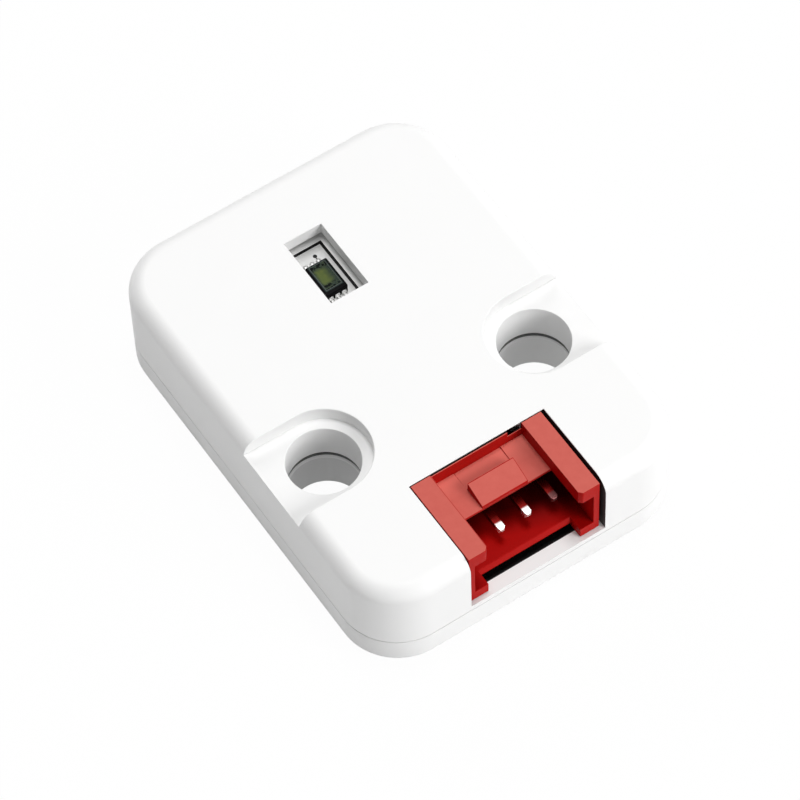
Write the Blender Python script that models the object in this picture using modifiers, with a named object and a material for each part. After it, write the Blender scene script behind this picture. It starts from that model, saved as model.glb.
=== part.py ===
# Brightness sensor module: a small two-part plastic case with two round fixing holes, a window over
# a light sensor on a circuit board, and a four-pin side-entry socket let into one end.
# Axes: X across, Y along the case with the socket at the -Y end, Z up; origin at the bottom centre.

import bpy
import bmesh
from math import cos, pi, radians, sin, sqrt
from mathutils import Matrix, Vector

mm = 0.001

# Case
case_width = 23.8 * mm
case_length = 31.8 * mm
case_height = 7.8 * mm
corner_radius = 4.05 * mm
top_fillet = 1.3 * mm
bottom_fillet = 0.45 * mm
side_wall = 0.8 * mm
top_plate = 0.95 * mm
floor_plate = 1.2 * mm
parting_height = 2.2 * mm
parting_gap = 0.1 * mm
lip_height = 0.8 * mm
lip_thickness = 0.5 * mm
lip_clearance = 0.1 * mm

# Fixing holes and the open pockets round them
hole_pitch = 16.0 * mm
hole_from_end = 12.0 * mm
hole_radius = 2.43 * mm
hole_tube_wall = 0.65 * mm
hole_split_height = 3.75 * mm
hole_top_chamfer = 0.12 * mm
hole_bottom_chamfer = 0.5 * mm
pocket_radius = 3.2 * mm
pocket_depth = 1.1 * mm
pocket_edge_fillet = 0.07 * mm
pocket_floor_fillet = 0.06 * mm
pocket_wall = 0.8 * mm

# Sensor window in the top plate
window_width = 2.82 * mm
window_length = 5.55 * mm
window_from_end = 23.9 * mm

# Circuit board
board_below_top = 2.4 * mm
board_thickness = 1.0 * mm
board_clearance = 0.25 * mm
board_seat_gap = 0.05 * mm
support_post_radius = 1.0 * mm
support_post_inset = 3.6 * mm

# Screw that holds the cover
screw_from_end = 12.0 * mm
screw_radius = 0.95 * mm
screw_length = 4.0 * mm
screw_head_radius = 1.75 * mm
screw_head_height = 1.3 * mm
screw_head_sunk = 0.6 * mm
screw_key_across = 1.3 * mm
screw_key_depth = 0.7 * mm
screw_clearance = 0.15 * mm
thread_clearance = 0.05 * mm
boss_wall = 0.85 * mm

# Socket housing
socket_width = 9.84 * mm
socket_length = 6.48 * mm
socket_height = 5.05 * mm
socket_setback = 0.3 * mm
socket_gap = 0.12 * mm
socket_back_gap = 0.07 * mm
socket_wall = 0.45 * mm
socket_back_wall = 0.8 * mm
socket_lip = 0.1 * mm
lip_drop = 0.13 * mm
lip_notch_width = 1.07 * mm
lip_notch_depth = 0.55 * mm
socket_floor = 0.4 * mm
foot_height = 0.45 * mm
foot_width = 1.45 * mm
floor_setback = 0.97 * mm
floor_lead = 0.22 * mm
rail_width = 1.5 * mm
rail_height = 1.2 * mm
roof_length = 3.28 * mm
roof_thickness = 0.8 * mm
tab_width = 3.45 * mm
tab_length = 1.6 * mm
tab_setback = 0.1 * mm
tab_front_height = 0.17 * mm
tab_back_height = 0.76 * mm
tab_groove = 0.06 * mm
socket_edge_bevel = 0.06 * mm
sill_depth = 0.95 * mm
sill_overlap = 0.5 * mm

# Socket pins and anchors
pin_count = 4
pin_pitch = 2.0 * mm
pin_size = 0.5 * mm
pin_above_floor = 1.28 * mm
pin_reach = 3.2 * mm
pin_hole_clearance = 0.04 * mm
pin_bend_run = 0.7 * mm
pin_tail = 1.3 * mm
solder_gap = 0.03 * mm
anchor_width = 1.6 * mm
anchor_length = 1.5 * mm
anchor_thickness = 0.25 * mm
anchor_depth = 0.25 * mm
anchor_from_end = 2.6 * mm

# Light sensor package
sensor_offset = 0.05 * mm
sensor_width = 1.6 * mm
sensor_length = 2.6 * mm
sensor_height = 0.75 * mm
sensor_bevel = 0.06 * mm
lens_width = 1.32 * mm
lens_length = 2.05 * mm
lens_offset = 0.15 * mm
lens_depth = 0.2 * mm
lens_gap = 0.02 * mm
terminal_count = 3
terminal_pitch = 0.5 * mm
terminal_width = 0.24 * mm
terminal_length = 0.6 * mm
terminal_proud = 0.26 * mm
terminal_thickness = 0.15 * mm

# Regulator and small chip parts
regulator_width = 2.9 * mm
regulator_depth = 1.3 * mm
regulator_height = 1.0 * mm
regulator_lead_width = 0.4 * mm
regulator_lead_thickness = 0.12 * mm
regulator_lead_pitch = 0.95 * mm
regulator_lead_reach = 0.55 * mm
chip_length = 1.6 * mm
chip_width = 0.8 * mm
capacitor_height = 0.8 * mm
resistor_height = 0.45 * mm
chip_band = 0.3 * mm
chip_band_step = 0.02 * mm

# Places of the small parts, across from the centre line and along from the holes or the sensor
regulator_across = 6.2 * mm
regulator_from_holes = 7.1 * mm
input_capacitor_step = 3.2 * mm
output_capacitor_step = 5.4 * mm
sensor_capacitor_across = 4.6 * mm
address_resistor_step = 2.8 * mm
pull_up_across = 1.6 * mm
pull_up_from_holes = 5.7 * mm

corner_segments = 10
fillet_segments = 6
round_segments = 48
screw_segments = 32
post_segments = 24
hexagon = 6
smooth_angle = 35
merge_distance = 0.0001 * mm

# Heights and places that follow from the sizes above
end_y = -case_length / 2
hole_y = end_y + hole_from_end
hole_x = hole_pitch / 2
hole_tube_radius = hole_radius + hole_tube_wall
pocket_floor_z = case_height - pocket_depth
window_y = end_y + window_from_end
plate_under_z = case_height - top_plate
board_top_z = case_height - board_below_top
board_under_z = board_top_z - board_thickness
part_z = board_top_z + solder_gap
shell_low_z = parting_height + parting_gap / 2
cover_high_z = parting_height - parting_gap / 2
screw_y = end_y + screw_from_end
screw_seat_z = screw_head_sunk + screw_head_height
socket_front_y = end_y + socket_setback
socket_back_y = socket_front_y + socket_length
socket_base_z = case_height - socket_height
socket_floor_z = socket_base_z + foot_height + socket_floor
roof_z = case_height - rail_height
cavity_back_y = socket_back_y - socket_back_wall
roof_front_y = socket_back_y - roof_length
inner_rail_x = socket_width / 2 - rail_width
cavity_x = socket_width / 2 - socket_wall
foot_x = socket_width / 2 - foot_width
pin_z = socket_floor_z + pin_above_floor
pin_tail_z = part_z + pin_size / 2
tail_y = socket_back_y + pin_bend_run + socket_gap
notch_y = socket_back_y + pin_bend_run
anchor_y = end_y + anchor_from_end + anchor_width / 2
sensor_y = window_y + sensor_offset
regulator_place = (-regulator_across, hole_y + regulator_from_holes)
pull_up_y = hole_y + pull_up_from_holes
mouth_low_z = socket_base_z - parting_gap / 2
far = case_height + case_length


def clear_scene():
    for old in list(bpy.data.objects):
        bpy.data.objects.remove(old, do_unlink=True)


clear_scene()
parts = bpy.data.collections.new("brightness_sensor")
cutters = bpy.data.collections.new("cutters")
bpy.context.scene.collection.children.link(parts)
bpy.context.scene.collection.children.link(cutters)


def material(name, colour, roughness, metallic=0.0):
    """Return the named material, made on first use."""
    if name in bpy.data.materials:
        return bpy.data.materials[name]
    made = bpy.data.materials.new(name)
    made.use_nodes = True
    shader = made.node_tree.nodes["Principled BSDF"]
    shader.inputs["Base Color"].default_value = (*colour, 1.0)
    shader.inputs["Roughness"].default_value = roughness
    shader.inputs["Metallic"].default_value = metallic
    made.diffuse_color = (*colour, 1.0)
    return made


case_plastic = material("case_plastic", (0.86, 0.86, 0.86), 0.5)
board_white = material("board_white", (0.75, 0.76, 0.75), 0.4)
socket_plastic = material("socket_plastic", (0.62, 0.05, 0.04), 0.4)
pin_metal = material("pin_metal", (0.85, 0.84, 0.8), 0.25, 1.0)
package_black = material("package_black", (0.02, 0.02, 0.022), 0.35)
lens_green = material("lens_green", (0.09, 0.12, 0.03), 0.15)
solder_metal = material("solder_metal", (0.8, 0.8, 0.8), 0.3, 1.0)
capacitor_tan = material("capacitor_tan", (0.5, 0.36, 0.2), 0.45)
screw_steel = material("screw_steel", (0.2, 0.2, 0.21), 0.35, 1.0)


def add_object(name, bm, paint=None):
    """Turn a bmesh into a part, or into a cutter when no material is given."""
    mesh = bpy.data.meshes.new(name)
    bm.to_mesh(mesh)
    bm.free()
    return place_object(bpy.data.objects.new(name, mesh), paint)


def place_object(thing, paint=None):
    """Link a part to its collection; a cutter or a helper goes with the cutters."""
    if paint is None:
        cutters.objects.link(thing)
        thing.hide_render = True
        thing.display_type = "WIRE"
    else:
        parts.objects.link(thing)
        thing.data.materials.append(paint)
    return thing


def box(name, x, y, z, paint=None, bevel=0.0):
    """A block between the given low and high values on each axis."""
    bm = bmesh.new()
    bmesh.ops.create_cube(bm, size=1.0)
    size = Vector((x[1] - x[0], y[1] - y[0], z[1] - z[0]))
    centre = Vector((x[0] + x[1], y[0] + y[1], z[0] + z[1])) / 2
    place = Matrix.Translation(centre) @ Matrix.Diagonal((*size, 1.0))
    bmesh.ops.transform(bm, verts=bm.verts, matrix=place)
    if bevel:
        bmesh.ops.bevel(bm, geom=bm.edges[:], offset=bevel, segments=1, profile=0.5, affect="EDGES")
    return add_object(name, bm, paint)


def cylinder(name, centre, radius, z, paint=None, segments=round_segments, top_radius=None):
    """An upright cylinder or cone between two heights."""
    bm = bmesh.new()
    upper = radius if top_radius is None else top_radius
    bmesh.ops.create_cone(
        bm, cap_ends=True, segments=segments, radius1=radius, radius2=upper, depth=z[1] - z[0],
        matrix=Matrix.Translation((centre[0], centre[1], (z[0] + z[1]) / 2)))
    return add_object(name, bm, paint)


def rounded_block(name, inset, z, top=0.0, bottom=0.0, paint=None):
    """The case outline, set in by a distance, between two heights, with filleted top or bottom edges."""
    bm = bmesh.new()
    bmesh.ops.create_cube(bm, size=1.0)
    size = (case_width - 2 * inset, case_length - 2 * inset, z[1] - z[0])
    lift = Matrix.Translation((0, 0, (z[0] + z[1]) / 2))
    bmesh.ops.transform(bm, verts=bm.verts, matrix=lift @ Matrix.Diagonal((*size, 1.0)))
    upright = [e for e in bm.edges if abs(e.verts[0].co.z - e.verts[1].co.z) > size[2] / 2]
    bmesh.ops.bevel(bm, geom=upright, offset=corner_radius - inset, segments=corner_segments, profile=0.5,
                    affect="EDGES")
    for fillet, height in ((top, z[1]), (bottom, z[0])):
        if fillet:
            rim = [e for e in bm.edges if all(abs(v.co.z - height) < fillet / 100 for v in e.verts)]
            bmesh.ops.bevel(bm, geom=rim, offset=fillet, segments=fillet_segments, profile=0.5,
                            affect="EDGES")
    return add_object(name, bm, paint)


def prism(name, outline, x):
    """A block with a straight outline in Y and Z, running across between two X values."""
    bm = bmesh.new()
    face = bm.faces.new([bm.verts.new((x[0], y, z)) for y, z in outline])
    pushed = bmesh.ops.extrude_face_region(bm, geom=[face])
    moved = [v for v in pushed["geom"] if isinstance(v, bmesh.types.BMVert)]
    bmesh.ops.translate(bm, verts=moved, vec=(x[1] - x[0], 0, 0))
    bmesh.ops.recalc_face_normals(bm, faces=bm.faces)
    return add_object(name, bm)


def bent_strip(name, path, thickness, width, place, turn, paint):
    """A bar of constant section whose side view follows a path of (distance, height) points."""
    upper, lower = [], []
    for i, point in enumerate(path):
        before = Vector(path[i]) - Vector(path[i - 1]) if i else Vector(path[1]) - Vector(path[0])
        after = Vector(path[i + 1]) - Vector(point) if i < len(path) - 1 else before
        side_a = Vector((-before.y, before.x)).normalized()
        side_b = Vector((-after.y, after.x)).normalized()
        mitre = (side_a + side_b).normalized()
        reach = thickness / 2 / mitre.dot(side_a)
        upper.append(Vector(point) + mitre * reach)
        lower.append(Vector(point) - mitre * reach)
    curve = bpy.data.curves.new(name, "CURVE")
    curve.dimensions = "2D"
    curve.fill_mode = "BOTH"
    curve.extrude = width / 2
    spline = curve.splines.new("POLY")
    corners = upper + lower[::-1]
    spline.points.add(len(corners) - 1)
    for slot, corner in zip(spline.points, corners):
        slot.co = (corner.x, corner.y, 0, 1)
    spline.use_cyclic_u = True
    guide = bpy.data.objects.new(name + "_guide", curve)
    cutters.objects.link(guide)
    bpy.context.view_layer.update()
    evaluated = guide.evaluated_get(bpy.context.evaluated_depsgraph_get())
    mesh = bpy.data.meshes.new_from_object(evaluated)
    bpy.data.objects.remove(guide, do_unlink=True)
    bm = bmesh.new()
    bm.from_mesh(mesh)
    bmesh.ops.remove_doubles(bm, verts=bm.verts, dist=merge_distance)
    stand = Matrix.Rotation(radians(90), 4, "X")
    bmesh.ops.transform(bm, verts=bm.verts, matrix=Matrix.Translation(place) @ turn @ stand)
    bmesh.ops.recalc_face_normals(bm, faces=bm.faces)
    bm.to_mesh(mesh)
    bm.free()
    mesh.name = name
    return place_object(bpy.data.objects.new(name, mesh), paint)


def combine(target, other, operation):
    step = target.modifiers.new(other.name, "BOOLEAN")
    step.operation = operation
    step.solver = "EXACT"
    step.object = other


def cut(target, *others):
    for other in others:
        combine(target, other, "DIFFERENCE")


def join(target, *others):
    for other in others:
        combine(target, other, "UNION")


def smooth(thing):
    thing.data.shade_smooth()
    thing.data.set_sharp_from_angle(angle=radians(smooth_angle))


def pocket_outline(radius, side):
    """A half circle round a fixing hole, with straight edges that run out past the case's long side."""
    centre = Vector((side * hole_x, hole_y))
    reach = case_width / 2 + pocket_radius
    points = [Vector((side * reach, hole_y - radius))]
    steps = corner_segments * 2
    for i in range(steps + 1):
        angle = -pi / 2 - pi * i / steps
        points.append(centre + Vector((side * cos(angle), sin(angle))) * radius)
    points.append(Vector((side * reach, hole_y + radius)))
    return points


def pocket_cutter(side):
    """The pocket's hollow, lofted from its floor fillet up through a flared rim."""
    levels = []
    quarter = fillet_segments // 2
    for i in range(quarter + 1):
        turn = pi / 2 * i / quarter
        levels.append((pocket_floor_z + pocket_floor_fillet * (1 - cos(turn)),
                       pocket_radius - pocket_floor_fillet * (1 - sin(turn))))
    for i in range(quarter + 1):
        turn = pi / 2 * i / quarter
        levels.append((case_height - pocket_edge_fillet * (1 - sin(turn)),
                       pocket_radius + pocket_edge_fillet * (1 - cos(turn))))
    levels.append((case_height + pocket_depth, pocket_radius + pocket_edge_fillet))
    bm = bmesh.new()
    loops = []
    for height, radius in levels:
        loop = [bm.verts.new((p.x, p.y, height)) for p in pocket_outline(radius, side)]
        loops.append(loop)
    for low, high in zip(loops, loops[1:]):
        for i in range(len(low)):
            j = (i + 1) % len(low)
            bm.faces.new((low[i], low[j], high[j], high[i]))
    bm.faces.new(loops[0])
    bm.faces.new(loops[-1])
    bmesh.ops.recalc_face_normals(bm, faces=bm.faces)
    return add_object(f"pocket_{'left' if side < 0 else 'right'}", bm)


def pocket_base(side):
    """The thicker floor under a pocket, which also seats the board."""
    bm = bmesh.new()
    reach = case_width / 2 - side_wall / 2
    outline = [(min(abs(p.x), reach) * side, p.y) for p in pocket_outline(pocket_radius + pocket_wall, side)]
    face = bm.faces.new([bm.verts.new((x, y, board_top_z + board_seat_gap)) for x, y in outline])
    pushed = bmesh.ops.extrude_face_region(bm, geom=[face])
    moved = [v for v in pushed["geom"] if isinstance(v, bmesh.types.BMVert)]
    rise = plate_under_z + top_plate / 4 - board_top_z - board_seat_gap
    bmesh.ops.translate(bm, verts=moved, vec=(0, 0, rise))
    bmesh.ops.recalc_face_normals(bm, faces=bm.faces)
    return add_object(f"pocket_base_{'left' if side < 0 else 'right'}", bm)


def hole_cutters():
    """The two fixing holes, with the small chamfers at the tube joint and at the underside."""
    joint = hole_split_height - parting_gap / 2
    through, chamfers = [], []
    for side in (-1, 1):
        centre = (side * hole_x, hole_y)
        tag = "left" if side < 0 else "right"
        through.append(cylinder(f"hole_{tag}", centre, hole_radius, (-case_height, case_height * 2)))
        chamfers.append(cylinder(f"hole_foot_{tag}", centre, hole_radius + 2 * hole_bottom_chamfer,
                                 (-hole_bottom_chamfer, hole_bottom_chamfer), top_radius=hole_radius))
        chamfers.append(cylinder(f"hole_mouth_{tag}", centre, hole_radius,
                                 (joint - hole_top_chamfer, joint + hole_top_chamfer),
                                 top_radius=hole_radius + 2 * hole_top_chamfer))
    return through, chamfers


def socket_mouth_cutter():
    """The room for the socket, open at the top and at the near end of the case."""
    half = socket_width / 2 + socket_gap
    return box("socket_mouth", (-half, half), (end_y - side_wall, socket_back_y + socket_back_gap),
               (mouth_low_z, far))


def make_top_shell(holes, mouth):
    shell = rounded_block("top_shell", 0, (shell_low_z, case_height), top=top_fillet, paint=case_plastic)
    hollow = rounded_block("shell_hollow", side_wall, (shell_low_z - case_height, plate_under_z),
                           top=top_fillet - side_wall)
    cut(shell, hollow)
    for side, hole in zip((-1, 1), holes):
        tube = cylinder(f"shell_tube_{side}", (side * hole_x, hole_y), hole_tube_radius,
                        (hole_split_height + parting_gap / 2, plate_under_z + top_plate / 4))
        join(shell, pocket_base(side), tube)
        cut(shell, pocket_cutter(side), hole)
    boss = cylinder("shell_boss", (0, screw_y), screw_radius + thread_clearance + boss_wall,
                    (hole_split_height + parting_gap / 2, plate_under_z + top_plate / 4))
    pilot = cylinder("shell_pilot", (0, screw_y), screw_radius + thread_clearance,
                     (0, screw_seat_z + screw_length + screw_clearance))
    join(shell, boss)
    cut(shell, pilot)
    opening_x = socket_width / 2 + socket_gap
    sill = box("socket_sill", (-opening_x - sill_overlap, opening_x + sill_overlap),
               (end_y + side_wall / 2, end_y + sill_depth), (shell_low_z, mouth_low_z + sill_overlap))
    join(shell, sill)
    window = box("window", (-window_width / 2, window_width / 2),
                 (window_y - window_length / 2, window_y + window_length / 2),
                 (plate_under_z - top_plate, far))
    cut(shell, window, mouth)
    smooth(shell)


def make_bottom_cover(holes, chamfers, mouth):
    cover = rounded_block("bottom_cover", 0, (0, cover_high_z), bottom=bottom_fillet, paint=case_plastic)
    lip_inset = side_wall + lip_clearance
    lip = rounded_block("cover_lip", lip_inset, (floor_plate / 2, parting_height + lip_height))
    hollow = rounded_block("cover_hollow", lip_inset + lip_thickness, (floor_plate, far))
    join(cover, lip)
    cut(cover, hollow)
    tube_top = hole_split_height - parting_gap / 2
    for side in (-1, 1):
        join(cover, cylinder(f"cover_tube_{side}", (side * hole_x, hole_y), hole_tube_radius,
                             (floor_plate / 2, tube_top)))
        for end in (-1, 1):
            place = (side * (case_width / 2 - support_post_inset),
                     end * (case_length / 2 - support_post_inset))
            join(cover, cylinder(f"post_{side}_{end}", place, support_post_radius,
                                 (floor_plate / 2, board_under_z - board_seat_gap), segments=post_segments))
    bore = screw_head_radius + screw_clearance
    join(cover, cylinder("cover_boss", (0, screw_y), bore + boss_wall, (floor_plate / 2, tube_top)))
    cut(cover, cylinder("head_bore", (0, screw_y), bore, (-far, screw_seat_z)))
    cut(cover, cylinder("shank_bore", (0, screw_y), screw_radius + screw_clearance, (0, far),
                        segments=screw_segments))
    gap_x = socket_width / 2 + socket_gap + sill_overlap + lip_clearance
    lip_gap = box("lip_gap", (-gap_x, gap_x), (end_y - side_wall, socket_back_y), (cover_high_z, far))
    cut(cover, lip_gap, mouth, *holes, *chamfers)
    smooth(cover)


def make_circuit_board():
    board = rounded_block("circuit_board", side_wall + board_clearance, (board_under_z, board_top_z),
                          paint=board_white)
    for side in (-1, 1):
        cut(board, cylinder(f"board_tube_hole_{side}", (side * hole_x, hole_y),
                            hole_tube_radius + board_clearance, (0, far)))
    boss_radius = screw_radius + thread_clearance + boss_wall
    cut(board, cylinder("board_boss_hole", (0, screw_y), boss_radius + board_clearance, (0, far)))
    notch_x = socket_width / 2 + socket_gap
    cut(board, box("board_notch", (-notch_x, notch_x), (end_y - side_wall, notch_y), (0, far)))


def make_socket_housing():
    x = socket_width / 2
    front = socket_front_y
    housing = box("socket_housing", (-x, x), (front, socket_back_y), (socket_base_z, case_height),
                  socket_plastic, bevel=socket_edge_bevel)
    over = case_height + roof_thickness
    before = front - socket_wall
    behind = socket_back_y - socket_lip
    past = socket_back_y + socket_wall
    slot = box("rail_slot", (-inner_rail_x, inner_rail_x), (before, behind), (roof_z, over))
    throat = box("socket_throat", (-cavity_x, cavity_x), (before, cavity_back_y),
                 (socket_floor_z, roof_z - roof_thickness))
    mouth_top = box("socket_mouth_top", (-cavity_x, cavity_x), (before, roof_front_y),
                    (socket_floor_z, roof_z))
    roof_gap = box("roof_gap", (-inner_rail_x, inner_rail_x), (before, roof_front_y), (socket_floor_z, over))
    under = box("foot_gap", (-foot_x, foot_x), (before, past), (0, socket_base_z + foot_height))
    lead_y = front + floor_setback
    setback = box("floor_setback", (-foot_x, foot_x), (before, lead_y), (0, socket_floor_z + socket_wall))
    lead = prism("floor_lead", ((before, socket_floor_z - floor_lead), (lead_y, socket_floor_z - floor_lead),
                                (lead_y + floor_lead, socket_floor_z), (lead_y + floor_lead, over),
                                (before, over)), (-foot_x, foot_x))
    lip_top = box("lip_top", (-inner_rail_x, inner_rail_x), (roof_front_y, past),
                  (case_height - lip_drop, over))
    notch = box("lip_notch", (inner_rail_x - lip_notch_width, inner_rail_x), (roof_front_y, past),
                (case_height - lip_notch_depth, over))
    tab_front_y = roof_front_y + tab_setback
    tab_back_y = tab_front_y + tab_length
    tab_base_z = roof_z - roof_thickness / 2
    groove = box("tab_groove", (-tab_width / 2, tab_width / 2), (tab_back_y, behind),
                 (roof_z - tab_groove, over))
    tab = prism("roof_tab", ((tab_front_y, tab_base_z), (tab_back_y, tab_base_z),
                             (tab_back_y, roof_z + tab_back_height),
                             (tab_front_y, roof_z + tab_front_height)),
                (-tab_width / 2, tab_width / 2))
    cut(housing, slot, throat, mouth_top, roof_gap, under, setback, lead, lip_top, notch, groove)
    join(housing, tab)
    hole = pin_size / 2 + pin_hole_clearance
    for i in range(pin_count):
        pin_x = (i - (pin_count - 1) / 2) * pin_pitch
        cut(housing, box(f"pin_hole_{i + 1}", (pin_x - hole, pin_x + hole),
                         (cavity_back_y - socket_wall, past), (pin_z - hole, pin_z + hole)))
    for side in (-1, 1):
        deep = sorted((side * (x - anchor_depth), side * (x + anchor_depth)))
        cut(housing, box(f"anchor_slot_{side}", deep,
                         (anchor_y - anchor_width / 2 - pin_hole_clearance,
                          anchor_y + anchor_width / 2 + pin_hole_clearance),
                         (part_z - pin_hole_clearance, part_z + anchor_thickness + pin_hole_clearance)))


def make_socket_pins():
    """Square pins from the cavity through the back wall, stepping up onto the board."""
    tip = cavity_back_y - pin_reach
    path = [(tip, pin_z), (socket_back_y + socket_gap, pin_z),
            (tail_y - socket_gap, pin_tail_z), (tail_y + pin_tail, pin_tail_z)]
    turn = Matrix.Rotation(radians(90), 4, "Z")
    for i in range(pin_count):
        pin_x = (i - (pin_count - 1) / 2) * pin_pitch
        bent_strip(f"socket_pin_{i + 1}", path, pin_size, pin_size, (pin_x, 0, 0), turn, pin_metal)


def make_socket_anchors():
    for side, name in ((-1, "socket_anchor_left"), (1, "socket_anchor_right")):
        inner = socket_width / 2 - anchor_depth + pin_hole_clearance
        span = sorted((side * inner, side * (inner + anchor_length)))
        box(name, span, (anchor_y - anchor_width / 2, anchor_y + anchor_width / 2),
            (part_z, part_z + anchor_thickness), solder_metal, bevel=pin_hole_clearance)


def make_light_sensor():
    body_z = part_z + solder_gap
    x = sensor_width / 2
    y = (sensor_y - sensor_length / 2, sensor_y + sensor_length / 2)
    top = part_z + sensor_height
    body = box("sensor_body", (-x, x), y, (body_z, top), package_black, bevel=sensor_bevel)
    well = (lens_width / 2 + lens_gap, lens_length / 2 + lens_gap)
    lens_y = sensor_y + lens_offset
    cut(body, box("lens_well", (-well[0], well[0]), (lens_y - well[1], lens_y + well[1]),
                  (top - lens_depth - lens_gap, top + lens_depth)))
    box("sensor_lens", (-lens_width / 2, lens_width / 2),
        (lens_y - lens_length / 2, lens_y + lens_length / 2), (top - lens_depth, top), lens_green)
    number = 0
    for end in (-1, 1):
        for i in range(terminal_count):
            number += 1
            centre = (i - (terminal_count - 1) / 2) * terminal_pitch
            outer = sensor_y + end * (sensor_length / 2 + terminal_proud)
            run = sorted((outer, outer - end * terminal_length))
            half = terminal_width / 2
            box(f"sensor_terminal_{number}", (centre - half, centre + half), run,
                (part_z, part_z + terminal_thickness), solder_metal)
            room = lens_gap
            inner = sorted((outer + end * room, outer - end * (terminal_length + room)))
            cut(body, box(f"terminal_room_{number}", (centre - half - room, centre + half + room), inner,
                          (0, part_z + terminal_thickness + room)))


def make_regulator(place):
    x, y = place
    stand = regulator_lead_thickness
    box("regulator_body", (x - regulator_width / 2, x + regulator_width / 2),
        (y - regulator_depth / 2, y + regulator_depth / 2),
        (part_z + stand, part_z + stand + regulator_height), package_black, bevel=sensor_bevel)
    half = regulator_depth / 2 + lens_gap
    knee = part_z + stand / 2 + regulator_height / 2
    path = [(half, knee), (half + regulator_lead_reach / 3, knee),
            (half + regulator_lead_reach / 2, part_z + stand / 2),
            (half + regulator_lead_reach, part_z + stand / 2)]
    leads = ((-regulator_lead_pitch, -1), (regulator_lead_pitch, -1), (0, 1))
    for number, (shift, end) in enumerate(leads, 1):
        turn = Matrix.Rotation(radians(90 * end), 4, "Z")
        bent_strip(f"regulator_lead_{number}", path, stand, regulator_lead_width, (x + shift, y, 0), turn,
                   solder_metal)


def make_chip(name, place, height, paint):
    """A two-ended chip part with slightly proud end bands, lying across the board."""
    x, y = place
    low, high = part_z + chip_band_step, part_z + chip_band_step + height
    chip = box(name, (x - chip_length / 2 + chip_band / 2, x + chip_length / 2 - chip_band / 2),
               (y - chip_width / 2, y + chip_width / 2), (low, high), paint)
    for end in (-1, 1):
        outer = x + end * chip_length / 2
        band = sorted((outer, outer - end * chip_band))
        join(chip, box(f"{name}_band_{end}", band,
                       (y - chip_width / 2 - chip_band_step, y + chip_width / 2 + chip_band_step),
                       (low - chip_band_step, high + chip_band_step)))


def make_cover_screw():
    """A turned cap screw with a hexagonal key socket, head down in the cover's bore."""
    bevel = screw_clearance
    head_z = screw_head_sunk
    tip_z = screw_seat_z + screw_length
    seat = screw_seat_z - solder_gap
    profile = [(0, tip_z), (screw_radius - bevel, tip_z), (screw_radius, tip_z - bevel),
               (screw_radius, seat), (screw_head_radius, seat), (screw_head_radius, head_z + bevel),
               (screw_head_radius - bevel, head_z), (0, head_z)]
    mesh = bpy.data.meshes.new("cover_screw")
    mesh.from_pydata([(r, 0, z) for r, z in profile], [(i, i + 1) for i in range(len(profile) - 1)], [])
    screw = place_object(bpy.data.objects.new("cover_screw", mesh), screw_steel)
    screw.location = (0, screw_y, 0)
    turned = screw.modifiers.new("turned", "SCREW")
    turned.steps = screw_segments
    turned.render_steps = screw_segments
    turned.use_merge_vertices = True
    turned.merge_threshold = merge_distance
    key = cylinder("screw_key", (0, screw_y), screw_key_across / sqrt(3), (0, head_z + screw_key_depth),
                   segments=hexagon)
    cut(screw, key)
    smooth(screw)


hole_tools, chamfer_tools = hole_cutters()
mouth_tool = socket_mouth_cutter()
make_top_shell(hole_tools, mouth_tool)
make_bottom_cover(hole_tools, chamfer_tools, mouth_tool)
make_circuit_board()
make_light_sensor()
make_socket_housing()
make_socket_pins()
make_socket_anchors()
make_regulator(regulator_place)
capacitor_steps = {"input_capacitor": input_capacitor_step, "output_capacitor": output_capacitor_step}
for chip_name, step in capacitor_steps.items():
    chip_place = (regulator_place[0], regulator_place[1] + step)
    make_chip(chip_name, chip_place, capacitor_height, capacitor_tan)
make_chip("sensor_capacitor", (sensor_capacitor_across, sensor_y), capacitor_height, capacitor_tan)
make_chip("data_pull_up", (-pull_up_across, pull_up_y), resistor_height, package_black)
make_chip("clock_pull_up", (pull_up_across, pull_up_y), resistor_height, package_black)
make_chip("address_resistor", (sensor_capacitor_across, sensor_y - address_resistor_step), resistor_height,
          package_black)
make_cover_screw()
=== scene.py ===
import math

import bmesh
import bpy
from mathutils import Matrix, Vector


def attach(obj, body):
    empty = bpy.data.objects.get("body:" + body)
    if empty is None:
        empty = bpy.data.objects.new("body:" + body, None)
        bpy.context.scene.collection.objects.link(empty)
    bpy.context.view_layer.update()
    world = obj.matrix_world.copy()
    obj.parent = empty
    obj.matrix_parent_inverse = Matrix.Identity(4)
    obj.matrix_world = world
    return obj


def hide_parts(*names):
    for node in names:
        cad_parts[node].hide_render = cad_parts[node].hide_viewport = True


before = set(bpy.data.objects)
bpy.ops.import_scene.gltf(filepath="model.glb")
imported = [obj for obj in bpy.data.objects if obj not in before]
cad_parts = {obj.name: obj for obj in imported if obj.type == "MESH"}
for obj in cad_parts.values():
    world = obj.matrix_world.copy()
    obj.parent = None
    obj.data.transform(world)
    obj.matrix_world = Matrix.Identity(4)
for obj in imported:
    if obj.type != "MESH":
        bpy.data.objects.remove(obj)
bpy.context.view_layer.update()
mm = 0.001
tiny = 0.002 * mm
above, ahead = 9 * mm, -17 * mm  # over the case's top and before its front, for cuts that run out of it
print("frame loaded:", len(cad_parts), "nodes")


# picking and shaping

def rest():
    if bpy.context.object and bpy.context.object.mode != "OBJECT":
        bpy.ops.object.mode_set(mode="OBJECT")
    bpy.ops.object.select_all(action="DESELECT")


def pick(piece):
    rest()
    piece.select_set(True)
    bpy.context.view_layer.objects.active = piece
    return piece


def settle(piece):
    # place and size go into the mesh, the object stays at the origin
    pick(piece)
    bpy.ops.object.transform_apply(location=True, rotation=True, scale=True)
    return piece


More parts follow.
